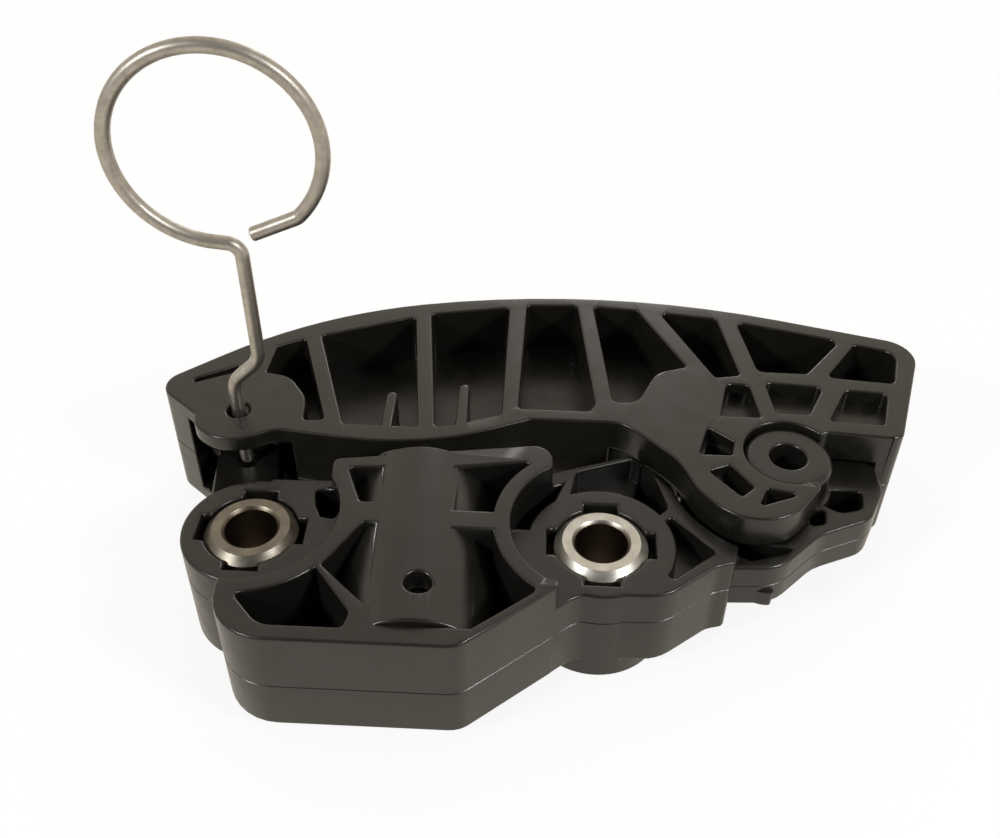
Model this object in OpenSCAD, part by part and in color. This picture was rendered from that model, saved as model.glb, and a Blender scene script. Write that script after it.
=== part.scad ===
// Chain tensioner: a moulded housing bolted down through two bushings, a plunger that
// slides in it, a ribbed arm that the plunger swings out, and a wire locking pin.
// Units are millimetres. The left bolt's axis is the origin, on the mounting face,
// X runs to the right bolt, Y to the arm and Z up the bolts.

/* [Bolts and bushings] */
// Distance between the two bolts
bolt_spacing = 44; // [42:0.5:48]
// Radius of the bolt hole
bolt_r = 3.3; // [3:0.05:3.6]
// Outer radius of each bushing
bush_r = 5.9; // [5.2:0.1:6.4]
// Length of each bushing
bush_h = 15.7; // [14.5:0.1:17]
// Chamfer round the top of each bushing
bush_edge = 1; // [0.6:0.05:1.2]
// Chamfer at the mouth of each bolt hole
bush_chamfer = 0.4; // [0.2:0.05:0.7]
// Width of the relief notches round each bushing
notch_w = 4.2; // [3:0.1:5]

/* [Housing] */
// Top of the block that holds the plunger
block_top = 19.2; // [18:0.1:21]
// Top of the deck round the bushings
deck_top = 15.4; // [14.6:0.1:16]
// Underside of the block and the wing
base_z = 3; // [2:0.1:4]
// Height of the mould line, the barrel and the middle of the arm
mid_z = 10.4; // [10:0.1:11]
// Radius of the round bosses under the bushings
boss_r = 8.8; // [8:0.1:9.2]
// Radius of the clearance round the bolt heads
head_r = 11.4; // [10.5:0.1:12]
// Wall between pockets
rib_w = 2.2; // [1.6:0.1:2.6]
// Floor of the deep pockets
pocket_z = 8; // [7:0.5:10]

/* [Plunger] */
// Outer radius of the barrel
barrel_r = 9.8; // [9.4:0.1:10.2]
// Turn of the barrel from the Y axis, in degrees
barrel_turn = 3; // [0:0.5:6]
// Length of the barrel
barrel_l = 28.7; // [27:0.1:30]
// Outer radius of the plunger
plunger_r = 5.4; // [5.2:0.1:5.8]
// Radius of the plunger's domed tip
dome_r = 6; // [6:0.1:9]
// Wall of the steel sleeve
sleeve_wall = 1.1; // [0.8:0.1:1.5]
// Running clearance of the plunger in the sleeve
plunger_gap = 0.04; // [0.02:0.01:0.08]
// Turns of the plunger spring
spring_turns = 7; // [5:1:9]

/* [Arm] */
// Height of the arm
arm_h = 17.6; // [17:0.1:18.4]
// Thickness of the web between the upper and lower pockets
web_t = 1.8; // [1.4:0.1:3]
// Thickness of the hooked ear at the pivot
ear_t = 4.9; // [4:0.1:5.2]
// Thickness of the lobe that takes the locking pin
lobe_t = 2.4; // [2:0.1:3]
// Radius of the pivot boss
pivot_r = 5.85; // [5.4:0.05:6.2]
// Running clearance of the hook on the pivot boss
pivot_gap = 0.08; // [0.04:0.01:0.1]

/* [Locking pin] */
// Radius of the wire
wire_r = 0.9; // [0.8:0.05:1.1]
// Radius of the pull ring, to the middle of the wire
ring_r = 12.3; // [10:0.1:14]
// Radius of the pin hole in the lobe
pin_hole_r = 1.6; // [1.5:0.05:1.9]

/* [Hidden] */
$fn = 64;
eps = 0.01;
run_gap = 0.5;          // room between parts that swing past each other
press_gap = 0.01;       // seam between a pressed-in piece and the housing
// The outlines below are drawn for bolts 44 apart: all beyond x = 35 moves with the right bolt
spread_by = bolt_spacing - 44;
right_bolt = [bolt_spacing, 0];
pivot_drawn = [68.6, 14.1];
pivot = [pivot_drawn.x + spread_by, pivot_drawn.y];
pin_at = [-5.1, 18.3];
plat_top = 13.8;                        // platform that carries the pivot
plat_z = 2 * mid_z - plat_top;
plat_r = 13;
arm_top = mid_z + arm_h / 2;
arm_z = mid_z - arm_h / 2;
ear_z = max(arm_top - ear_t, plat_top + run_gap);
tongue_top = mid_z - 0.6;               // finger under the lobe, with the pin's hole
tongue_t = 5;
tongue_z = tongue_top - tongue_t;
lobe_z = min(arm_z + lobe_t, tongue_z - run_gap);
lobe_top = max(arm_top - lobe_t, tongue_top + run_gap);
hook_r = pivot_r + pivot_gap;
low_ear_r = 8;
low_ear_z = 3;
ring_gap = 2;                           // slot between the block and that wall
ring_wall_r = head_r - ring_gap;        // wall of the deck round the right bushing
sleeve_r = plunger_r + plunger_gap + sleeve_wall;
barrel_x = 21;
barrel_mouth = 11.4;                    // open end of the barrel, behind the bolts
barrel_front = barrel_l - barrel_mouth; // its closed end, in front of them
bleed_at = [22.4, -11.6];
bleed_r = 1.6;
pivot_hole_r = 2.4;
steel = [0.62, 0.6, 0.56];
black = [0.16, 0.16, 0.15];

// A polygon's corners [x, y, radius], each turned into an arc of its own radius
function unit(v) = v / norm(v);
function arc_step(r) = r > 20 ? 3 : r < 1.2 ? 30 : 12;
function arc(c, r, a0, a1) = let (n = max(2, ceil(abs(a1 - a0) / arc_step(r))))
    [for (i = [0:n]) c + r * [cos(a0 + (a1 - a0) * i / n), sin(a0 + (a1 - a0) * i / n)]];
function corner(a, b, c, r) = let (
        u = unit(a - b),
        w = unit(c - b),
        half = acos(u * w) / 2,
        mid = b + unit(u + w) * r / sin(half),
        p = b + u * r / tan(half) - mid,
        q = b + w * r / tan(half) - mid,
        a0 = atan2(p.y, p.x),
        turn = (atan2(q.y, q.x) - a0 + 540) % 360 - 180)
    arc(mid, r, a0, a0 + turn);
function flat(p) = [p.x > 35 ? p.x + spread_by : p.x, p.y];
function rounded(p) = let (n = len(p))
    [for (i = [0:n - 1]) each (p[i][2] > 0
        ? corner(flat(p[(i + n - 1) % n]), flat(p[i]), flat(p[(i + 1) % n]), p[i][2])
        : [flat(p[i])])];
// The same outline drawn in towards its middle
function mean(p) = [for (k = [0:1]) [for (i = [0:len(p) - 1]) p[i][k]] * [for (q = p) 1 / len(p)]];
function inset(p, s) = let (m = mean(p))
    [for (q = p) [m.x + (q.x - m.x) * s, m.y + (q.y - m.y) * s, q[2] * s]];

module slab(p, z0, z1) translate([0, 0, z0]) linear_extrude(z1 - z0) polygon(rounded(p));
module disc(at, r, z0, z1) translate([at.x, at.y, z0]) cylinder(h = z1 - z0, r = r);
module along_barrel() translate([barrel_x, 0, mid_z]) rotate([0, 0, barrel_turn])
    translate([0, -barrel_front, 0]) rotate([-90, 0, 0]) children();

// Outlines of the housing
block_pts = [[9.2, 9.5, 1], [37.6, 13.9, 2.6], [37.8, 8.5, 1], [36, 0, 0], [38.8, -10.6, 1.2],
    [27.6, -20, 3.8], [-1.1, -20, 7], [-1.1, -10, 0.5], [4, -7, 0], [9.8, 2, 0]];
front_pocket = [[1.2, -13.5, 1], [9.2, -8, 0.8], [14.9, -15.6, 0.8], [14.5, -17.8, 0.8], [5, -17.8, 3]];
left_pocket = [[14.6, -1.6, 0.5], [10.7, -8.6, 0.5], [16.6, -14.6, 0.5], [20, -14.6, 0.5], [20, -1.6, 0.5]];
notch_pocket = [[11.5, 7.9, 0.5], [20, 8.6, 0.5], [20, 2.2, 0.5], [13.8, 2, 0.5]];
notch_z = block_top - 4;
back_pocket = [[23, 8.4, 0.5], [35.5, 10.4, 0.8], [30.6, 1.1, 0.6], [23, 1.1, 0.5]];
right_pocket = [[23, -2, 0.5], [32, -2, 0.5], [36, -11.3, 0.8], [28.8, -17.2, 0.6], [23, -17.2, 0.5]];
left_deck = [[-1.1, -14, 0], [-1.1, -7, 0], [-2, 6, 0], [1, 9.2, 0.5], [10, 9.2, 0.5], [13, 0, 0],
    [10, -14, 0]];
well = [[7, 7.3, 0.6], [7.9, 2.8, 0.6], [10.2, 2.4, 0.6], [11, 7.4, 0.6]];
wing_pts = [[33, -13, 0], [37.9, -11.3, 0.3], [41.2, -8.5, 4.5], [51.6, -8.2, 6], [58.2, -3, 3],
    [60.4, -2.4, 0.8], [62, 4, 0], [54, 10, 0], [48.4, 16.5, 0.7], [38.4, 12.8, 0.8], [33, 8, 0]];
wing_pocket = [[40.2, 8, 0.5], [41, 12.7, 0.8], [48.3, 15.5, 0.5], [51.3, 12.2, 0.6], [52.6, 6.6, 0.8],
    [49, 3, 0]];
wing_pit = [[49.6, 15.2, 0.4], [51.3, 12.2, 0.6], [52.6, 6.6, 0.8], [50, 4, 0], [48.4, 9, 0.5]];
gusset_pocket = [[53, 5, 0.4], [58.2, -0.6, 0.5], [52.6, -5.4, 0.4], [49, 0, 0]];
wing_floor = deck_top - 3.4;
slot_pts = [[30, 2, 0], [35, 14, 0], [39.4, 11, 0], [36, 2, 0]];
platform_pts = [[54, 4, 0], [60, -1.9, 0.6], [66.2, -1.6, 6], [72.2, 4.5, 7], [79.3, 7.7, 4],
    [81.9, 13.2, 4], [81.5, 18, 0], [58, 18, 0]];
platform_back = [[50, 13.6, 0], [90, 13.6, 0], [90, 30, 0], [50, 30, 0]];
rim_pocket = [[73, 12.8, 0.4], [78.9, 12.8, 0.7], [78.4, 9.6, 1.6], [75.4, 8.7, 2], [73, 10.4, 0.6]];
rim_notch = [[71.2, 8.8, 0.4], [73.3, 9, 0.5], [73, 6.6, 0.6], [71.2, 6.2, 0.4]];
tongue_pts = [[-7.6, 2, 0], [-9.7, 20, 3.5], [-6, 23, 3.5], [-1.2, 22.4, 3.5], [1.2, 8, 0], [0, 2, 0]];
trough_pts = [[50, -0.2, 0], [63, -0.2, 0], [68.4, 1.4, 1], [68.4, 3, 0], [62, 12, 0], [50, 18, 0]];
trough_floor = [[50, -2, 0], [66, -2, 0], [66, 18, 0], [50, 12, 0]];
well_r = 15.5;                          // trough that the hook swings in
well_in = 12.2;
well_z = 9.5;

// Outlines of the arm
arm_pts = [[-18, 23.2, 3], [2.1, 40.9, 63], [44.6, 50.7, 110], [90.9, 38.3, 4.5], [84.2, 17.5, 1.8],
    [74.2, 18.3, 1.5], [72, 17, 0], [pivot_drawn.x, pivot_drawn.y, 0], [70.3, 9, 0], [72.3, 8.3, 0.9],
    [67.2, 1.5, 7.2], [60, 1.5, 7.2], [55.9, 6.6, 7.2], [54.1, 11.6, 10], [47, 18.7, 5], [34.7, 18.7, 2],
    [20.4, 12.2, 37], [0.6, 14.7, 4], [-3, 12.6, 5.8], [-6.5, 12, 5.8], [-10.6, 14.8, 4],
    [-10.9, 17.2, 1]];
arm_pockets = [
    [[-2.6, 32.6, 0.6], [1.2, 34.7, 0.6], [6.8, 17, 0.6], [4, 16.8, 0.6], [3.6, 21.5, 5], [0.5, 26, 4],
        [-3, 26.6, 0.5]],
    [[3.4, 35.6, 0.6], [16.7, 41, 0.6], [19.5, 16.3, 0.6], [9.4, 16.4, 0.6]],
    [[19, 41.9, 0.6], [30.6, 44.3, 0.6], [30.6, 19.6, 0.6], [26, 17.4, 2], [21.8, 16.4, 0.6]],
    [[33.3, 45, 0.6], [40.9, 45.4, 0.6], [43.3, 22.5, 1.2], [42.5, 20.8, 0.8], [32.8, 20.8, 0.6]],
    [[43.4, 45.3, 0.6], [50, 44.7, 0.6], [56.5, 31.4, 0.5], [52, 29.8, 3.5], [49.1, 23.1, 2.5],
        [45.8, 22.8, 1]],
    [[53.4, 44.3, 0.6], [61.8, 43.2, 0.6], [63.9, 29.9, 0.6], [60.4, 29.2, 0.6]],
    [[64.7, 42.6, 0.8], [79.4, 38.8, 1], [73.4, 30.8, 0.6], [66.6, 30.9, 1]],
    [[81.4, 38, 0.8], [87.2, 36.4, 2], [85.4, 29.3, 0.8], [76.2, 30.2, 0.6]]];
end_slot = [[-13, 23.6, 0.3], [-12.5, 24.7, 0.3], [-7.2, 27.9, 0.3], [-6.7, 26.8, 0.3]];
stubs = [[15.3, 23.4], [25.2, 25.6]];   // short ribs behind the plunger's pad: x and far end
stub_w = 1.5;
ear_pockets = [
    [[61.8, 27.8, 1], [64.9, 27.8, 1], [65.7, 20.9, 0.3], [60.3, 20.9, 0.3]],
    [[67.2, 28.4, 0.8], [75.2, 27.8, 0.8], [72.4, 21.9, 0.4], [68, 21.9, 0.4]],
    [[78.2, 27.3, 1], [84, 26.9, 0.8], [82.2, 20.3, 0.4], [75, 20.7, 0.4]]];
hook_pockets = [
    [[58.3, 18.4, 0.3], [61.6, 15.7, 0.3], [61, 13.1, 0.3], [56.8, 13.1, 0.3]],
    [[57.8, 9.9, 0.3], [60.6, 11.2, 0.3], [63.2, 7.2, 0.3], [61.5, 5.5, 0.3]],
    [[64.9, 7, 0.3], [68.9, 6.2, 0.3], [63.5, 3.9, 0.3]]];
ear_depth = 2.4;
hook_step = 2.1;
hook_depth = 3.5;
neck_cut = [[45.5, -3, 0], [45.5, 19.2, 0], [50.5, 20, 0], [57, 16, 0], [75, 16, 0], [75, -3, 0]];
low_ear_root = [[57, 17, 0], [80, 17, 0], [84, 21, 0], [84, 32, 0], [57, 32, 0]];
lobe_gap_pts = [[-12, 8, 0], [-11.6, 18, 0], [-11.2, 25, 3], [-8, 28.6, 0.5], [-5, 28.6, 0.5], [-5, 8, 0]];
lobe_gap_r = 7.3;
lobe_mouth = [[-6, 18.3, 0], [2.6, 18.3, 0], [2.6, 8, 0], [-6, 8, 0]];

// Plunger and valve, measured along the barrel from its closed front end
sleeve_t = [3, barrel_l - 0.3];
seat_t = [4, 6];
ball_r = 1.6;
seat_hole_r = 1.2;
ball_t = seat_t[1] + sqrt(ball_r * ball_r - seat_hole_r * seat_hole_r) + 0.03;
cage_t = [seat_t[1] + press_gap, 10.4];
cage_wall = 0.4;
cage_hole_r = 0.6;
cage_slot = [1.2, 1.8];
plunger_proud = 2.15;                   // how far the tip stands out at rest
plunger_t = [11, barrel_l + plunger_proud];
plunger_wall = 1.5;
plunger_end = 4;
plunger_bore = plunger_r - plunger_wall;
cup_t = plunger_t[1] - plunger_end;
coil_wire = 0.45;
coil_r = plunger_bore - coil_wire - 0.1;
cage_r = coil_r - coil_wire - 0.4;
check_wire = 0.18;
check_r = 1.1;
check_turns = 2;
check_rise = sqrt(pow(ball_r + check_wire + 0.05, 2) - check_r * check_r) - check_wire;
check_t = [ball_t + check_rise, cage_t[1] - cage_wall - 0.03];

// Moulded housing: block, barrel, deck, bolt bosses, pivot platform and pin tongue
module housing() color(black) difference() {
    union() {
        difference() {
            union() {
                slab(block_pts, base_z, block_top);
                deck();
            }
            for (p = [front_pocket, left_pocket, back_pocket, right_pocket])
                block_pocket(p, pocket_z);
            block_pocket(notch_pocket, notch_z);
            deck_pockets();
            for (x = [0, bolt_spacing])
                disc([x, 0], head_r, deck_top, block_top + 1);
        }
        along_barrel() cylinder(h = barrel_l, r = barrel_r);
        for (x = [0, bolt_spacing])
            disc([x, 0], boss_r, 0, deck_top);
        slab(tongue_pts, tongue_z, tongue_top);
        platform();
    }
    for (x = [0, bolt_spacing])
        bush_seat([x, 0]);
    along_barrel() translate([0, 0, sleeve_t[0]]) cylinder(h = barrel_l, r = sleeve_r + press_gap);
    disc(bleed_at, bleed_r, mid_z, mid_z + barrel_r + 1);
    disc(pin_at, wire_r + 0.4, 0, tongue_top + 1);
    disc(pivot, pivot_hole_r, 0, arm_top + 1);
}

// Pocket of the block, which leaves a rib round each bolt head
module block_pocket(p, z) difference() {
    slab(p, z, block_top + 1);
    disc([0, 0], head_r + rib_w, 0, block_top + 2);
    disc(right_bolt, head_r + rib_w, 0, block_top + 2);
}

// Deck round the bushings
module deck() difference() {
    union() {
        slab(left_deck, base_z, deck_top);
        slab(wing_pts, base_z, deck_top);
    }
    disc(pivot, well_r, 0, deck_top + 1);
}

// Wells of the deck, and the slot beside the right bushing
module deck_pockets() {
    slab(well, pocket_z - 3, deck_top + 1);
    difference() {
        union() {
            slab(wing_pocket, wing_floor, deck_top + 1);
            slab(wing_pit, pocket_z - 3, deck_top + 1);
            slab(gusset_pocket, wing_floor, deck_top + 1);
        }
        disc(right_bolt, ring_wall_r, 0, deck_top + 2);
    }
    intersection() {
        slab(slot_pts, pocket_z - 3, deck_top + 1);
        difference() {
            disc(right_bolt, head_r, 0, deck_top + 2);
            disc(right_bolt, ring_wall_r, 0, deck_top + 3);
        }
    }
}

// Platform that carries the pivot boss, with the trough round the hook
module platform() difference() {
    union() {
        slab(platform_pts, plat_z, plat_top);
        intersection() {
            disc(pivot, plat_r, plat_z, plat_top);
            slab(platform_back, plat_z, plat_top);
        }
        intersection() {
            disc(pivot, well_r + 1, plat_z, well_z);
            slab(trough_floor, plat_z, well_z);
        }
        translate([pivot.x, pivot.y, low_ear_z + 0.4])
            cylinder(h = arm_top - 1.8 - low_ear_z, r = pivot_r);
        translate([pivot.x, pivot.y, arm_top - 1.4 - eps])
            cylinder(h = 0.6, r1 = pivot_r, r2 = pivot_r - 0.6);
    }
    intersection() {
        difference() {
            disc(pivot, well_r, well_z, plat_top + 1);
            disc(pivot, well_in, well_z - 1, plat_top + 2);
        }
        slab(trough_pts, 0, block_top);
    }
    difference() {
        slab(rim_pocket, well_z, plat_top + 1);
        disc(pivot, pivot_r + 0.6, 0, block_top);
    }
    slab(rim_notch, well_z, plat_top + 1);
}

// Hole for a bushing, with four relief notches at its mouth
module bush_seat(at) {
    disc(at, bush_r + press_gap, -1, block_top);
    translate([at.x, at.y, deck_top - 3])
        for (a = [0, 90])
            rotate([0, 0, a])
                translate([-bush_r - 0.9, -notch_w / 2, 0]) cube([2 * bush_r + 1.8, notch_w, 10]);
}

module bushing(at) color(steel) translate([at.x, at.y, 0]) rotate_extrude() polygon([
    [bolt_r, 0], [bush_r - 0.6, 0], [bush_r, 0.6],
    [bush_r, bush_h - bush_edge], [bush_r - bush_edge, bush_h],
    [bolt_r + bush_chamfer, bush_h], [bolt_r, bush_h - bush_chamfer]]);

module left_bushing() bushing([0, 0]);

module right_bushing() bushing(right_bolt);

// Ribbed arm: shoe, web, plunger pad, hook at the pivot and forked lobe at the pin
module arm() color(black) difference() {
    union() {
        slab(arm_pts, ear_z, arm_top);
        difference() {
            slab(arm_pts, arm_z, ear_z + eps);
            disc(pivot, plat_r + run_gap, arm_z - 1, ear_z);
            slab(neck_cut, arm_z - 1, ear_z);
        }
        intersection() {
            slab(arm_pts, low_ear_z, plat_z - run_gap);
            union() {
                disc(pivot, low_ear_r, 0, arm_top);
                slab(low_ear_root, 0, arm_top);
            }
        }
    }
    arm_recess(mid_z + web_t / 2, arm_top + 1);
    arm_recess(arm_z - 1, mid_z - web_t / 2);
    slab(end_slot, arm_z - 1, arm_top + 1);
    for (p = ear_pockets)
        slab(p, arm_top - ear_depth, arm_top + 1);
    for (p = hook_pockets) {
        slab(p, arm_top - hook_step, arm_top + 1);
        slab(inset(p, 0.8), arm_top - hook_depth, arm_top + 1);
    }
    disc(pivot, hook_r, 0, arm_top + 1);
    disc(pin_at, pin_hole_r, 0, arm_top + 1);
    slab(lobe_gap_pts, lobe_z, lobe_top);
    slab(lobe_mouth, lobe_z, lobe_top);
    disc(pin_at, lobe_gap_r, lobe_z, lobe_top);
}

// Pockets of one side of the arm, less the stub ribs that stand in them
module arm_recess(z0, z1) difference() {
    for (p = arm_pockets)
        slab(p, z0, z1);
    for (s = stubs)
        slab([[s.x - stub_w / 2, 10, 0], [s.x - stub_w / 2, s.y, stub_w / 2 - eps],
            [s.x + stub_w / 2, s.y, stub_w / 2 - eps], [s.x + stub_w / 2, 10, 0]], z0 - 1, z1 + 1);
}

// Wire pin in one upright plane: shank, offset bend, grip and open pull ring.
// Its route is a list of [across, up, heading]; each bend adds its own points.
pin_tip_z = tongue_top + 0.3;
bend_r = 2;
offset_x = 3.9;                         // how far the grip stands off the shank
offset_turn = 48;
offset_bend = 3.5;
jog = offset_bend * (1 - cos(offset_turn));
jog_run = (offset_x - 2 * jog) / sin(offset_turn);
bend_h = 3.4;
bend_z = arm_top + bend_h;
grip_h = 24.4;
grip_top = arm_top + grip_h;
grip_turn = 72;
ring_rise = 2;
ring_at = [2.65, grip_top + ring_rise + ring_r];
ring_ends = [258, -44];                 // the ring runs clockwise from one to the other
tail_l = 5.8;
tail_turn = -24;
pin_turn = 4;
function step_on(p, l) = [p[0] + l * cos(p[2]), p[1] + l * sin(p[2]), p[2]];
function bend(p, turn, r, n) = let (s = sign(turn))
    [for (i = [1:n]) let (a = p[2] + turn * i / n)
        [p[0] + s * r * (sin(a) - sin(p[2])), p[1] - s * r * (cos(a) - cos(p[2])), a]];
pin_a = [0, pin_tip_z, 90];
pin_b = [0, bend_z, 90];
pin_c = bend(pin_b, -offset_turn, offset_bend, 4);
pin_d = step_on(pin_c[3], jog_run);
pin_e = bend(pin_d, offset_turn, offset_bend, 4);
pin_f = [offset_x, grip_top, 90];
pin_g = bend(pin_f, grip_turn, bend_r, 5);
ring_pts = [for (i = [0:24]) let (a = ring_ends[0] + (ring_ends[1] - ring_ends[0]) * i / 24)
    [ring_at.x + ring_r * cos(a), ring_at.y + ring_r * sin(a), a - 90]];
pin_h = bend(ring_pts[24], tail_turn, bend_r, 3);
pin_route = concat([pin_a, pin_b], pin_c, [pin_d], pin_e, [pin_f], pin_g, ring_pts, pin_h,
    [step_on(pin_h[2], tail_l)]);
wire_sides = 12;
module locking_pin() color(steel) translate([pin_at.x, pin_at.y, 0]) rotate([90, 0, pin_turn])
    sweep(pin_route, wire_r, wire_sides);

// Round wire along a route: one ring of points at each step, joined side by side
function tube_faces(m, n) = concat(
    [[for (k = [0:n - 1]) k]],
    [for (i = [0:m - 2]) for (k = [0:n - 1]) let (j = (k + 1) % n)
        [i * n + j, i * n + k, (i + 1) * n + k, (i + 1) * n + j]],
    [[for (k = [n - 1:-1:0]) (m - 1) * n + k]]);
module sweep(route, r, n) polyhedron(
    [for (p = route) for (k = [0:n - 1]) let (a = 360 * k / n)
        [p[0] - r * cos(a) * sin(p[2]), p[1] + r * cos(a) * cos(p[2]), r * sin(a)]],
    tube_faces(len(route), n));

module sleeve() color(steel) along_barrel() translate([0, 0, sleeve_t[0] + press_gap]) difference() {
    cylinder(h = sleeve_t[1] - sleeve_t[0], r = sleeve_r);
    translate([0, 0, -1]) cylinder(h = barrel_l + 2, r = plunger_r + plunger_gap);
}

// Hollow plunger with a domed tip against the arm's pad
module plunger() color(steel) along_barrel() difference() {
    intersection() {
        translate([0, 0, plunger_t[0]]) cylinder(h = plunger_t[1] - plunger_t[0], r = plunger_r);
        union() {
            translate([0, 0, plunger_t[1] - dome_r]) sphere(dome_r);
            cylinder(h = plunger_t[1] - dome_r, r = plunger_r + 1);
        }
    }
    translate([0, 0, plunger_t[0] - 1]) cylinder(h = cup_t - plunger_t[0] + 1, r = plunger_bore);
}

// Coil of round wire that stands on z = 0
coil_steps = 12;
coil_sides = 6;
module coil(r, w, h, turns) let (m = coil_steps * turns) polyhedron(
    [for (i = [0:m]) for (k = [0:coil_sides - 1])
        let (a = 360 * i / coil_steps, t = -360 * k / coil_sides, d = r + w * cos(t))
        [d * cos(a), d * sin(a), w + (h - 2 * w) * i / m + w * sin(t)]],
    tube_faces(m + 1, coil_sides));

module plunger_spring() color(steel) along_barrel() translate([0, 0, seat_t[1] + 0.05])
    coil(coil_r, coil_wire, cup_t - seat_t[1] - 0.1, spring_turns);

module check_seat() color(steel) along_barrel() translate([0, 0, seat_t[0]]) difference() {
    cylinder(h = seat_t[1] - seat_t[0], r = plunger_r + plunger_gap - press_gap);
    translate([0, 0, -1]) cylinder(h = seat_t[1], r = seat_hole_r);
}

module check_ball() color(steel) along_barrel() translate([0, 0, ball_t]) sphere(ball_r);

// Cage over the ball, open at its sides for the oil
module check_cage() color(steel) along_barrel() difference() {
    translate([0, 0, cage_t[0]]) cylinder(h = cage_t[1] - cage_t[0], r = cage_r);
    translate([0, 0, cage_t[0] - 1])
        cylinder(h = cage_t[1] - cage_t[0] + 1 - cage_wall, r = cage_r - cage_wall);
    translate([0, 0, cage_t[0]]) cylinder(h = cage_t[1], r = cage_hole_r);
    for (a = [0, 60, 120])
        rotate([0, 0, a]) translate([-cage_r - 1, -cage_slot[0] / 2, cage_t[0] + 1])
            cube([2 * cage_r + 2, cage_slot[0], cage_slot[1]]);
}

module check_spring() color(steel) along_barrel() translate([0, 0, check_t[0]])
    coil(check_r, check_wire, check_t[1] - check_t[0], check_turns);

housing();
left_bushing();
right_bushing();
arm();
locking_pin();
sleeve();
plunger();
plunger_spring();
check_seat();
check_ball();
check_cage();
check_spring();
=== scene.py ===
import math

import bmesh
import bpy
from mathutils import Euler, Matrix, Vector
from mathutils.bvhtree import BVHTree
from mathutils.geometry import delaunay_2d_cdt


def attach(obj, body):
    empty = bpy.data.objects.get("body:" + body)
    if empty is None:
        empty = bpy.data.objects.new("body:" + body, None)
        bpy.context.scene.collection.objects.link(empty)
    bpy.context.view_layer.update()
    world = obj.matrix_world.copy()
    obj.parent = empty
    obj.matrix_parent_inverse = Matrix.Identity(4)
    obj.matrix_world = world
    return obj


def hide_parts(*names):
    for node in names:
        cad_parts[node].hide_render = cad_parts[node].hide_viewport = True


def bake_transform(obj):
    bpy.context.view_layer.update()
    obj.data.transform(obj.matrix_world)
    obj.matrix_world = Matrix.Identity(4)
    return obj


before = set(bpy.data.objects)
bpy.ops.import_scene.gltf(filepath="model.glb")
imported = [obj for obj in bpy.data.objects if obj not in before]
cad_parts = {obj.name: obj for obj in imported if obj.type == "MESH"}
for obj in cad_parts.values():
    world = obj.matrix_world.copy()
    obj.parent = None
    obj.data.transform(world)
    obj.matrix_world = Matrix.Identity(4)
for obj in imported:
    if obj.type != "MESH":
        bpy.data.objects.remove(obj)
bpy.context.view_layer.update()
scene = bpy.context.scene
MM = 0.001
HAIR = 0.001 * MM  # what lies closer than this is in the same place

# Sizes of the part are in millimetres and turns in degrees, as in its source

# Bushings
BUSH_R = 5.9
BUSH_H = 15.7
BUSH_EDGE = 1.0  # chamfer of the top end
BUSH_FOOT = 0.6  # chamfer of the lower end
BOLT_R = 3.3
BOLT_CHAMFER = 0.4
LEFT_BOLT = (0, 0, 0)
RIGHT_BOLT = (44, 0, 0)

# Barrel, plunger and springs, measured along the barrel from its closed front end
BARREL_AT = (21, 0, 10.4)
BARREL_TURN = 3
BARREL_FRONT = 17.3
PLUNGER_R = 5.4
PLUNGER_ENDS = (11, 30.85)
PLUNGER_EDGE = 0.3
PLUNGER_BORE = 3.9
CUP_END = 26.85  # end of the plunger's bore
DOME_R = 6
DOME_TURN = 64  # where the dome meets the plunger's side
SPRING_ENDS = (6.05, 26.8)
SPRING_R = 3.35
SPRING_WIRE = 0.45
SPRING_TURNS = 7
CHECK_ENDS = (8.371, 9.97)
CHECK_R = 1.1
CHECK_WIRE = 0.18
CHECK_TURNS = 2
COIL_STEPS = 24  # points in one turn of a spring

# Mouldings
ARM_TOP = 19.2
HOUSING_EDGE = 0.4  # rounding of the outer edges
ARM_EDGE = 0.35
MOULD_LINE_Z = 10.4
MOULD_LINE_HALF = 0.1  # half of the groove's width
MOULD_LINE_DEPTH = 0.12
BLOCK_WALL = ((38.8, -10.6), (27.6, -20))  # the sloping right wall, seen from above
PROUD_ALONG = (4, 13)  # stretch of that wall where the barrel's corner stands proud
PROUD_HALF_H = 2

# Which edges of a moulding are rounded; from LEDGE_ROOM on, lengths are counted in roundings
EDGE_TURN = 16  # a lesser turn is smooth
FACET_TURN = 40  # the same between the facets of a rounded corner
FACET_W = 1.6  # facets are narrower than this
LEDGE_ROOM = 1.4  # narrower ledges stay crisp
WALL_ROOM = 2.2  # the rims of thinner walls stay crisp
SHORT_EDGE = 4  # shorter edges can be crowded out
FOLD_REACH = 2  # a fold nearer than this crowds an edge out
STRAY_REACH = 0.5  # a point further from the solid has strayed
TRIALS = 4

# Locking pin, in its upright plane
PIN_AT = (-5.1, 18.3, 0)
PIN_TURN = 4
PIN_TIP_Z = 10.1
WIRE_R = 0.9
BEND_R = 2
OFFSET_Z = ARM_TOP + 3.4
OFFSET_X = 3.9  # how far the grip stands off the shank
OFFSET_BEND = 3.5
OFFSET_TURN = 48
GRIP_TOP = ARM_TOP + 24.4
GRIP_TURN = 72
RING_R = 12.3
RING_RISE = 2
RING_AT = (2.65, GRIP_TOP + RING_RISE + RING_R)
RING_ENDS = (258, -44)  # the ring runs clockwise from one to the other
TAIL = 5.8
TAIL_TURN = -24

LAMP_AIM = (0.03, 0.01, 0.01)  # the middle of the part, in metres


def linear(hex_colour):
    """sRGB hex to the linear colour that a shader socket takes."""
    parts = [int(hex_colour[i : i + 2], 16) / 255 for i in (1, 3, 5)]
    return [c / 12.92 if c <= 0.04045 else ((c + 0.055) / 1.055) ** 2.4 for c in parts] + [1]


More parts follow.
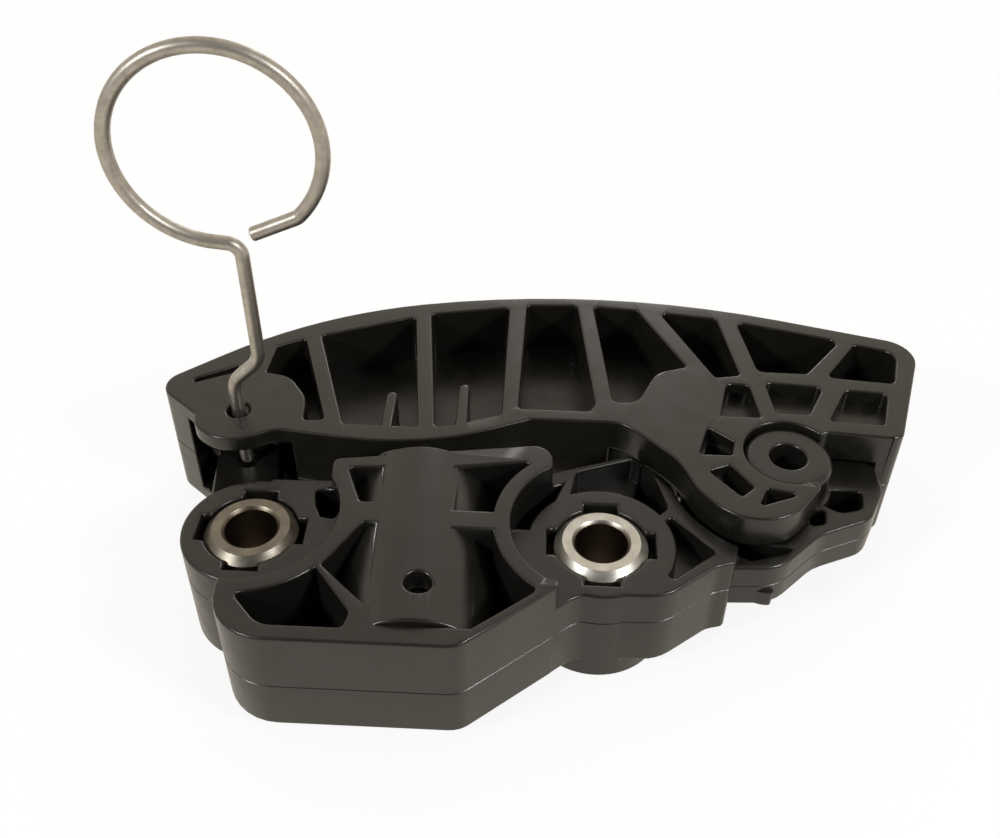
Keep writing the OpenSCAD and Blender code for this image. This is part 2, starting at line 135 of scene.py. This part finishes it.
def add(tree, kind, inputs=None, stops=(), **settings):
    """Adds a shader node: an input is a value or a socket that feeds it, a stop a place and a colour."""
    made = tree.nodes.new(kind)
    for name, value in settings.items():
        setattr(made, name, value)
    for name, value in (inputs or {}).items():
        if isinstance(value, bpy.types.NodeSocket):
            tree.links.new(value, made.inputs[name])
        else:
            made.inputs[name].default_value = value
    for i, (position, colour) in enumerate(stops):
        element = made.color_ramp.elements[i] if i < 2 else made.color_ramp.elements.new(position)
        element.position = position
        element.color = linear(colour)
    return made


def new_material(name):
    """A material with its shader and output, and the Object coordinates that its patterns read."""
    made = bpy.data.materials.new(name)
    made.use_nodes = True
    tree = made.node_tree
    tree.nodes.clear()
    shader = add(tree, "ShaderNodeBsdfPrincipled")
    add(tree, "ShaderNodeOutputMaterial", {"Surface": shader.outputs[0]})
    place = add(tree, "ShaderNodeTexCoord").outputs["Object"]
    return made, tree, shader, place


# Glass-filled nylon 66, black, moulded in sparked steel: a fine grain that spreads the light, and faint
# cloudy flow marks where the fibres reach the skin.
def moulded_nylon(name, dark, pale, gloss):
    made, tree, shader, place = new_material(name)
    shader.inputs["IOR"].default_value = 1.53
    flow = add(tree, "ShaderNodeTexNoise", {"Vector": place, "Scale": 1 / (7 * MM), "Detail": 5,
        "Roughness": 0.6})
    skin = add(tree, "ShaderNodeValToRGB", {"Fac": flow.outputs["Fac"]}, [(0.3, dark), (0.75, pale)])
    tree.links.new(skin.outputs["Color"], shader.inputs["Base Color"])
    patch = add(tree, "ShaderNodeTexNoise", {"Vector": place, "Scale": 1 / (3 * MM), "Detail": 3})
    rough = add(tree, "ShaderNodeMapRange", {"Value": patch.outputs["Fac"], "From Min": 0.3, "From Max": 0.7,
        "To Min": gloss, "To Max": gloss + 0.1})
    tree.links.new(rough.outputs[0], shader.inputs["Roughness"])
    # The spark grain is too fine to show, and is drawn 0.25 mm across
    grain = add(tree, "ShaderNodeTexNoise", {"Vector": place, "Scale": 1 / (0.25 * MM), "Detail": 2})
    bump = add(tree, "ShaderNodeBump", {"Height": grain.outputs["Fac"], "Strength": 0.3,
        "Distance": 0.02 * MM})
    tree.links.new(bump.outputs[0], shader.inputs["Normal"])
    return made


# Free-cutting steel, turned: satin, with fine rings from the tool, and the bore and its chamfer coloured a
# darker brown.
def turned_steel(name, axis_at, dull, pale):
    made, tree, shader, place = new_material(name)
    shader.inputs["Metallic"].default_value = 1
    centred = add(tree, "ShaderNodeVectorMath", {0: place, 1: [-c * MM for c in axis_at]}, operation="ADD")
    around = add(tree, "ShaderNodeVectorMath", {0: centred.outputs[0], 1: (1, 1, 0)}, operation="MULTIPLY")
    radius = add(tree, "ShaderNodeVectorMath", {0: around.outputs[0]}, operation="LENGTH").outputs["Value"]
    smear = add(tree, "ShaderNodeTexNoise", {"Vector": place, "Scale": 1 / (1.6 * MM), "Detail": 4})
    face = add(tree, "ShaderNodeValToRGB", {"Fac": smear.outputs["Fac"]}, [(0.3, dull), (0.7, pale)])
    bore = add(tree, "ShaderNodeMapRange", {"Value": radius, "From Min": (BOLT_R + 0.02) * MM,
        "From Max": (BOLT_R + BOLT_CHAMFER) * MM, "To Min": 1, "To Max": 0})
    bore_browned = add(tree, "ShaderNodeMixRGB", {"Fac": bore.outputs[0], "Color1": face.outputs["Color"],
        "Color2": linear("#54483a")})
    tree.links.new(bore_browned.outputs[0], shader.inputs["Base Color"])
    # Tool rings 0.18 mm apart; the wave turns by 20 radians in one unit
    rings = add(tree, "ShaderNodeTexWave", {"Vector": around.outputs[0], "Distortion": 0.4,
        "Scale": 2 * math.pi / 20 / (0.18 * MM)}, wave_type="RINGS", rings_direction="SPHERICAL")
    rough = add(tree, "ShaderNodeMapRange", {"Value": smear.outputs["Fac"], "To Min": 0.34, "To Max": 0.46})
    tree.links.new(rough.outputs[0], shader.inputs["Roughness"])
    bump = add(tree, "ShaderNodeBump", {"Height": rings.outputs["Fac"], "Strength": 0.25,
        "Distance": 0.01 * MM})
    tree.links.new(bump.outputs[0], shader.inputs["Normal"])
    return made


# Bare steel, drawn to wire or ground: grey, with duller streaks left by the die or the stone and fine pits.
def bare_steel(name, pale, dull, rough_range):
    made, tree, shader, place = new_material(name)
    shader.inputs["Metallic"].default_value = 1
    streak = add(tree, "ShaderNodeTexNoise", {"Vector": place, "Scale": 1 / (1.2 * MM), "Detail": 6,
        "Roughness": 0.65})
    colour = add(tree, "ShaderNodeValToRGB", {"Fac": streak.outputs["Fac"]}, [(0.32, dull), (0.62, pale)])
    tree.links.new(colour.outputs["Color"], shader.inputs["Base Color"])
    rough = add(tree, "ShaderNodeMapRange", {"Value": streak.outputs["Fac"], "From Min": 0.3, "From Max": 0.7,
        "To Min": rough_range[1], "To Max": rough_range[0]})
    tree.links.new(rough.outputs[0], shader.inputs["Roughness"])
    # The pits are too fine to show, and are drawn 0.3 mm across
    pits = add(tree, "ShaderNodeTexNoise", {"Vector": place, "Scale": 1 / (0.3 * MM), "Detail": 3})
    bump = add(tree, "ShaderNodeBump", {"Height": pits.outputs["Fac"], "Strength": 0.2,
        "Distance": 0.02 * MM})
    tree.links.new(bump.outputs[0], shader.inputs["Normal"])
    return made


housing_nylon = moulded_nylon("housing_nylon", "#171614", "#1e1d1a", 0.26)
arm_nylon = moulded_nylon("arm_nylon", "#181714", "#1f1e1a", 0.24)
# The two bushings are the same steel: the left one is painted darker and browner as painted shade, the right
# one paler as painted light
shaded_left_steel = turned_steel("left_bushing_steel_painted_shade", LEFT_BOLT, "#767167", "#8b867b")
lit_right_steel = turned_steel("right_bushing_steel_painted_light", RIGHT_BOLT, "#b4b2aa", "#cccac3")
pin_wire = bare_steel("pin_wire", "#bbb6ae", "#a5a097", (0.4, 0.5))
ground_steel = bare_steel("ground_steel", "#a8a8a6", "#8e8d8a", (0.2, 0.32))
spring_wire = bare_steel("spring_wire", "#8d8b86", "#6a6863", (0.3, 0.45))


def place_piece(name, bm, body, node, material):
    """Turns a bmesh into a finished piece that stands for a node and rides on its body."""
    mesh = bpy.data.meshes.new(name)
    bm.to_mesh(mesh)
    bm.free()
    mesh.materials.append(material)
    piece = bpy.data.objects.new(name, mesh)
    scene.collection.objects.link(piece)
    if body:
        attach(piece, body)
    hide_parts(node)
    return piece


def even_shading(piece):
    """Smooth shading that keeps flat faces flat and sharp edges sharp."""
    for face in piece.data.polygons:
        face.use_smooth = True
    piece.modifiers.new("even_normals", "WEIGHTED_NORMAL").keep_sharp = True


def level(face):
    """Whether a face lies flat."""
    heights = [v.co.z for v in face.verts]
    return max(heights) - min(heights) < HAIR


def upright(edge):
    """Whether an edge runs along Z."""
    return abs(edge.verts[1].co.z - edge.verts[0].co.z) > 0.99 * edge.calc_length()


def gap(at, edge):
    """How far a point lies from an edge."""
    start, end = [v.co for v in edge.verts]
    share = (at - start).dot(end - start) / (end - start).length_squared
    return (at - start.lerp(end, min(1, max(0, share)))).length


def thickness(solid, edge):
    """How thick the wall under a level rim is; any other edge counts as thick."""
    walls = [f for f in edge.link_faces if not level(f)]
    if len(walls) != 1:
        return math.inf
    rim = next(f for f in edge.link_faces if f is not walls[0])
    inwards = -walls[0].normal
    middle = (edge.verts[0].co + edge.verts[1].co) / 2
    reach = solid.ray_cast(middle + inwards * 0.02 * MM - rim.normal * 0.05 * MM, inwards)[3]
    return math.inf if reach is None else reach


def outer_edges(bm, solid, width):
    """The edges to round: those that turn outwards and have room. Other sharp edges are marked."""
    outer = []
    for edge in bm.edges:
        # Narrow upright faces are the facets of a rounded corner, and stay smooth
        facet_area = FACET_W * MM * edge.calc_length()
        facet = upright(edge) and min(f.calc_area() for f in edge.link_faces) < facet_area
        least = FACET_TURN if facet else EDGE_TURN
        turn = math.degrees(edge.calc_face_angle_signed(0))
        ledge = any(level(f) and 2 * f.calc_area() < LEDGE_ROOM * width * MM * f.calc_perimeter()
            for f in edge.link_faces)
        if turn > least and not ledge and thickness(solid, edge) > WALL_ROOM * width * MM:
            outer.append(edge)
        elif abs(turn) > least:
            edge.smooth = False
    return outer


def round_edges(bm, edges, width):
    """Rounds edges by a radius of about the width."""
    bmesh.ops.bevel(bm, geom=edges, offset=width * MM, offset_type="OFFSET", affect="EDGES", segments=3,
        profile=0.5, material=-1, clamp_overlap=False)


def crowded(bm, solid, outer, width):
    """Short or upright edges that have no room to be rounded: trials on a copy fold over beside them."""
    bm.edges.index_update()
    edges = [e for e in outer if e.calc_length() < SHORT_EDGE * width * MM or upright(e)]
    tight = []
    for _ in range(TRIALS):
        trial = bm.copy()
        trial.edges.ensure_lookup_table()
        round_edges(trial, [trial.edges[e.index] for e in outer if e not in tight], width)
        trial.normal_update()
        folds = []
        for face in trial.faces:
            middle = face.calc_center_median()
            if not level(face) and face.normal.dot(solid.find_nearest(middle)[1]) < -0.3:
                folds.append(middle)
        trial.free()
        reach = FOLD_REACH * width * MM
        tight += [e for e in edges if e not in tight and any(gap(at, e) < reach for at in folds)]
    return tight


def islands(faces):
    """Groups of faces that join along their edges."""
    left = dict.fromkeys(faces)
    groups = []
    while left:
        group = [left.popitem()[0]]
        for face in group:
            for near in [n for e in face.edges for n in e.link_faces]:
                if near in left:
                    del left[near]
                    group.append(near)
        groups.append(group)
    return groups


def inside(at, rim):
    """Whether a point lies within flat rims: a ray to its right crosses them an odd number of times."""
    crossed = 0
    for a, b in [(a.co, b.co) for a, b in rim]:
        if (a.y > at.y) != (b.y > at.y):
            crossed += at.x < a.x + (at.y - a.y) / (b.y - a.y) * (b.x - a.x)
    return crossed % 2 == 1


def fill_level(bm, faces):
    """Fills a flat face again from its rims, with the pockets in it left open."""
    upward = sum(f.normal.z * f.calc_area() for f in faces) > 0
    rim = [e.verts[:] for f in faces for e in f.edges if sum(1 for n in e.link_faces if n in faces) == 1]
    points = list(dict.fromkeys(v for pair in rim for v in pair))
    number = {v: i for i, v in enumerate(points)}
    bmesh.ops.delete(bm, geom=faces, context="FACES_KEEP_BOUNDARY")
    places = [v.co.xy / MM for v in points]
    sides = [(number[a], number[b]) for a, b in rim]
    _, _, triangles, origins, _, _ = delaunay_2d_cdt(places, sides, [], 0, 0.0001)
    source = [points[ids[0]] if ids else None for ids in origins]
    for corners in triangles:
        verts = [source[i] for i in corners]
        if None not in verts and inside(sum((v.co for v in verts), Vector()) / 3, rim):
            bm.faces.new(verts if upward else verts[::-1])


def soften(bm, width):
    """Rounds the outer edges of a moulding and keeps its inner corners crisp."""
    bmesh.ops.remove_doubles(bm, verts=bm.verts, dist=0.03 * MM)
    bmesh.ops.dissolve_degenerate(bm, edges=bm.edges, dist=0.01 * MM)
    bmesh.ops.dissolve_limit(bm, angle_limit=math.radians(0.6), verts=bm.verts, edges=bm.edges)
    solid = BVHTree.FromBMesh(bm)
    outer = outer_edges(bm, solid, width)
    for edge in crowded(bm, solid, outer, width):
        edge.smooth = False
        outer.remove(edge)
    round_edges(bm, outer, width)
    # Where short edges crowd a corner, a point that strays from the solid goes back to it
    for vert in bm.verts:
        nearest, _, _, stray = solid.find_nearest(vert.co)
        if stray > STRAY_REACH * width * MM:
            vert.co = nearest
    bm.normal_update()
    for group in islands([f for f in bm.faces if level(f)]):
        fill_level(bm, group)
    # The slivers that are left open where two rims cross are closed
    bmesh.ops.holes_fill(bm, edges=[e for e in bm.edges if e.is_boundary], sides=16)


def part_line(bm, z, half_width, depth):
    """Cuts the groove that the two halves of the mould leave round the outer walls."""
    walls = BVHTree.FromBMesh(bm)
    heights = [(z - half_width) * MM, z * MM, (z + half_width) * MM]
    for height in heights:
        bmesh.ops.bisect_plane(bm, geom=bm.verts[:] + bm.edges[:] + bm.faces[:], dist=0.0001 * MM,
            plane_co=(0, 0, height), plane_no=(0, 0, 1))
    bm.normal_update()
    rims = [set(), set(), set()]
    for vert in bm.verts:
        for rim, height in zip(rims, heights):
            if abs(vert.co.z - height) < HAIR and abs(vert.normal.z) < 0.3:
                if walls.ray_cast(vert.co + vert.normal * 0.05 * MM, vert.normal)[0] is None:
                    rim.add(vert)
    for vert in rims[1]:
        vert.co -= vert.normal * depth * MM
    for edge in bm.edges:
        if any(edge.verts[0] in rim and edge.verts[1] in rim for rim in rims):
            edge.smooth = False


def fair_wall(bm, start, end):
    """Draws the barrel's corner, which stands slightly proud of a sloping wall, flush with that wall."""
    along = (Vector(end) - Vector(start)).normalized()
    outward = Vector((-along.y, along.x))
    for vert in bm.verts:
        reach = vert.co.xy / MM - Vector(start)
        proud = reach.dot(outward)
        beside = PROUD_ALONG[0] < reach.dot(along) < PROUD_ALONG[1]
        if proud > 0.001 and beside and abs(vert.co.z / MM - BARREL_AT[2]) < PROUD_HALF_H:
            vert.co.xy -= outward * proud * MM


def moulding(name, node, body, material, width, sloping_wall=None):
    """A moulded part: the solid's own shape with rounded edges and a parting line."""
    bm = bmesh.new()
    bm.from_mesh(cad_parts[node].data)
    if sloping_wall:
        fair_wall(bm, *sloping_wall)
    soften(bm, width)
    part_line(bm, MOULD_LINE_Z, MOULD_LINE_HALF, MOULD_LINE_DEPTH)
    even_shading(place_piece(name, bm, body, node, material))


def turned(name, profile, to_place, body, node, material, steps=96):
    """A turned part: a profile of [radius, height] in millimetres spun about Z, then put in its place."""
    bm = bmesh.new()
    verts = [bm.verts.new((r * MM, 0, z * MM)) for r, z in profile]
    edges = [bm.edges.new((a, b)) for a, b in zip(verts, verts[1:] + verts[:1])]
    bmesh.ops.spin(bm, geom=verts + edges, cent=(0, 0, 0), axis=(0, 0, 1), angle=2 * math.pi, steps=steps,
        use_merge=True)
    bmesh.ops.remove_doubles(bm, verts=bm.verts, dist=HAIR)
    bmesh.ops.recalc_face_normals(bm, faces=bm.faces)
    bmesh.ops.transform(bm, matrix=to_place, verts=bm.verts)
    piece = place_piece(name, bm, body, node, material)
    piece.data.set_sharp_from_angle(angle=math.radians(30))
    even_shading(piece)


def arc_points(centre, r, start, end, steps):
    """Points [across, up] along an arc, in millimetres."""
    angles = [math.radians(start + (end - start) * i / steps) for i in range(steps + 1)]
    return [(centre[0] + r * math.cos(a), centre[1] + r * math.sin(a)) for a in angles]


def wire(name, points, r, to_place, body, node, material, fineness=5):
    """Round wire along points, in millimetres, with its cut ends eased."""
    curve = bpy.data.curves.new(name, "CURVE")
    curve.dimensions = "3D"
    curve.bevel_depth = r * MM
    curve.bevel_resolution = fineness
    curve.use_fill_caps = True
    spline = curve.splines.new("POLY")
    spline.points.add(len(points) - 1)
    for point, at in zip(spline.points, points):
        point.co = [*(to_place @ (Vector(at) * MM)), 1]
    drawn = bpy.data.objects.new(name + "_route", curve)
    scene.collection.objects.link(drawn)
    bm = bmesh.new()
    bm.from_mesh(drawn.evaluated_get(bpy.context.evaluated_depsgraph_get()).to_mesh())
    bpy.data.objects.remove(drawn)
    bmesh.ops.remove_doubles(bm, verts=bm.verts, dist=HAIR)
    ends = [e for e in bm.edges if e.is_manifold and e.calc_face_angle() > math.radians(60)]
    bmesh.ops.bevel(bm, geom=ends, offset=r * 0.25 * MM, offset_type="OFFSET", affect="EDGES", segments=2,
        profile=0.5, material=-1)
    piece = place_piece(name, bm, body, node, material)
    piece.data.set_sharp_from_angle(angle=math.radians(50))
    even_shading(piece)
    return piece


# The camera at the photograph's place: above the front, with a slight turn and roll
camera = bpy.data.objects.new("camera", bpy.data.cameras.new("camera"))
camera.data.sensor_width = 36
camera.data.lens = 41.04
camera.data.clip_start = 0.005
camera.location = (0.0350873, -0.0975528, 0.1200464)
camera.rotation_euler = Euler([math.radians(a) for a in (48.9979, -0.5283, 2.7612)])
scene.collection.objects.link(camera)
scene.camera = camera

# Mouldings
moulding("housing_moulding", "housing", "housing_body", housing_nylon, HOUSING_EDGE,
    BLOCK_WALL)
moulding("arm_moulding", "arm", "arm_body", arm_nylon, ARM_EDGE)

# Bushings: chamfered shoulder, flat end and chamfered bore
bush_profile = [(BOLT_R, 0), (BUSH_R - BUSH_FOOT, 0), (BUSH_R, BUSH_FOOT), (BUSH_R, BUSH_H - BUSH_EDGE),
    (BUSH_R - BUSH_EDGE, BUSH_H), (BOLT_R + BOLT_CHAMFER, BUSH_H), (BOLT_R, BUSH_H - BOLT_CHAMFER)]
for side, at, steel in (("left", LEFT_BOLT, shaded_left_steel), ("right", RIGHT_BOLT, lit_right_steel)):
    turned(side + "_turned_bushing", bush_profile, Matrix.Translation(Vector(at) * MM), "housing_body",
        side + "_bushing", steel)

# Locking pin: shank, offset bend, grip and open pull ring with a straight tail
slope = math.radians(OFFSET_TURN)
slant = (OFFSET_X - 2 * OFFSET_BEND * (1 - math.cos(slope))) / math.sin(slope)
low = arc_points((OFFSET_BEND, OFFSET_Z), OFFSET_BEND, 180, 180 - OFFSET_TURN, 8)
high_z = low[-1][1] + slant * math.cos(slope) + OFFSET_BEND * math.sin(slope)
high = arc_points((OFFSET_X - OFFSET_BEND, high_z), OFFSET_BEND, -OFFSET_TURN, 0, 8)
grip = arc_points((OFFSET_X - BEND_R, GRIP_TOP), BEND_R, 0, GRIP_TURN, 10)
ring = arc_points(RING_AT, RING_R, *RING_ENDS, 72)
tail_centre = arc_points(RING_AT, RING_R - BEND_R, RING_ENDS[1], RING_ENDS[1], 1)[0]
tail = arc_points(tail_centre, BEND_R, RING_ENDS[1], RING_ENDS[1] + TAIL_TURN, 5)
heading = math.radians(RING_ENDS[1] + TAIL_TURN - 90)
tail_end = (tail[-1][0] + TAIL * math.cos(heading), tail[-1][1] + TAIL * math.sin(heading))
pin_plane = Matrix.Translation(Vector(PIN_AT) * MM) @ Matrix.Rotation(math.radians(PIN_TURN), 4, "Z")
pin_route = [(0, PIN_TIP_Z)] + low + high + grip + ring + tail[1:] + [tail_end]
wire("locking_pin_wire", [(x, 0, z) for x, z in pin_route], WIRE_R, pin_plane, "pin_body", "locking_pin",
    pin_wire)

# Plunger: hollow from behind, with a domed tip
barrel = (Matrix.Translation(Vector(BARREL_AT) * MM) @ Matrix.Rotation(math.radians(BARREL_TURN), 4, "Z")
    @ Matrix.Translation((0, -BARREL_FRONT * MM, 0)) @ Matrix.Rotation(math.radians(-90), 4, "X"))
foot, tip = PLUNGER_ENDS
cup = [(0, CUP_END), (PLUNGER_BORE, CUP_END), (PLUNGER_BORE, foot)]
chamfer = [(PLUNGER_R - PLUNGER_EDGE, foot), (PLUNGER_R, foot + PLUNGER_EDGE)]
dome = [(DOME_R * math.sin(math.radians(a)), tip - DOME_R + DOME_R * math.cos(math.radians(a)))
    for a in range(DOME_TURN, 0, -8)]
turned("plunger_turned", cup + chamfer + dome + [(0, tip)], barrel, "plunger_body", "plunger",
    ground_steel)


def coil(name, ends, r, wire_r, turns, node):
    """A spring that stretches between the housing and the piece that it pushes."""
    n = int(COIL_STEPS * turns)
    climb = [wire_r + (ends[1] - ends[0] - 2 * wire_r) * i / n for i in range(n + 1)]
    angles = [2 * math.pi * i / COIL_STEPS for i in range(n + 1)]
    points = [(r * math.cos(a), r * math.sin(a), ends[0] + c) for a, c in zip(angles, climb)]
    piece = wire(name, points, wire_r, barrel, None, node, spring_wire, 3)
    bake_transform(piece)


coil("plunger_coil", SPRING_ENDS, SPRING_R, SPRING_WIRE, SPRING_TURNS, "plunger_spring")
coil("check_coil", CHECK_ENDS, CHECK_R, CHECK_WIRE, CHECK_TURNS, "check_spring")

# The hidden steel pieces keep their solid's shape
for name in ("sleeve", "check_seat", "check_ball", "check_cage"):
    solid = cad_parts[name]
    solid.data.materials.clear()
    solid.data.materials.append(ground_steel)

# White floor: to the camera and in reflections most of it glows, and the rest takes the shadows
floor_bm = bmesh.new()
bmesh.ops.create_grid(floor_bm, x_segments=1, y_segments=1, size=3)
floor_mesh = bpy.data.meshes.new("floor")
floor_bm.to_mesh(floor_mesh)
floor_bm.free()
floor = bpy.data.objects.new("floor", floor_mesh)
scene.collection.objects.link(floor)
floor_paint, tree, shader, _ = new_material("floor_paint")
shader.inputs["Base Color"].default_value = linear("#f4f4f4")
shader.inputs["Roughness"].default_value = 0.9
path = add(tree, "ShaderNodeLightPath")
tint = add(tree, "ShaderNodeMixRGB", {"Fac": path.outputs["Is Camera Ray"], "Color1": linear("#f6ecdc"),
    "Color2": linear("#ffffff")})
glow = add(tree, "ShaderNodeEmission", {"Color": tint.outputs[0], "Strength": 1.03})
seen = add(tree, "ShaderNodeMath", {0: path.outputs["Is Camera Ray"], 1: path.outputs["Is Glossy Ray"]},
    operation="MAXIMUM")
share = add(tree, "ShaderNodeMath", {0: seen.outputs[0], 1: 0.85}, operation="MULTIPLY")
mix = add(tree, "ShaderNodeMixShader", {0: share.outputs[0], 1: shader.outputs[0], 2: glow.outputs[0]})
out = next(n for n in tree.nodes if n.type == "OUTPUT_MATERIAL")
tree.links.new(mix.outputs[0], out.inputs["Surface"])
floor_mesh.materials.append(floor_paint)

# The room is white to the camera. It lights the part brightly from behind and dimly from the camera's side,
# which gives the rounded edges their contrast.
world = bpy.data.worlds.new("studio")
world.use_nodes = True
scene.world = world
tree = world.node_tree
tree.nodes.clear()
path = add(tree, "ShaderNodeLightPath")
towards = add(tree, "ShaderNodeSeparateXYZ", {0: add(tree, "ShaderNodeTexCoord").outputs["Generated"]})
depth = add(tree, "ShaderNodeMapRange", {"Value": towards.outputs["Y"], "From Min": -0.5, "From Max": 0.45,
    "To Min": 0.12, "To Max": 0.86})
soft = add(tree, "ShaderNodeBackground", {"Color": linear("#fff3e2"), "Strength": depth.outputs[0]})
white = add(tree, "ShaderNodeBackground", {"Color": linear("#ffffff"), "Strength": 1})
mix = add(tree, "ShaderNodeMixShader", {0: path.outputs["Is Camera Ray"], 1: soft.outputs[0],
    2: white.outputs[0]})
add(tree, "ShaderNodeOutputWorld", {"Surface": mix.outputs[0]})


def soft_box(name, at, size, watts):
    """A square studio lamp, placed in metres and aimed at the part."""
    lamp = bpy.data.lights.new(name, "AREA")
    lamp.size = size
    lamp.energy = watts
    made = bpy.data.objects.new(name, lamp)
    made.location = at
    made.rotation_euler = (Vector(LAMP_AIM) - Vector(at)).to_track_quat("-Z", "Y").to_euler()
    scene.collection.objects.link(made)


soft_box("left_lamp", (-0.55, -0.45, 0.5), 0.13, 3.2)
soft_box("right_lamp", (0.64, -0.36, 0.5), 0.13, 3.2)
soft_box("back_lamp", (0.1, 0.8, 0.3), 0.2, 0.6)

scene.view_settings.view_transform = "Standard"
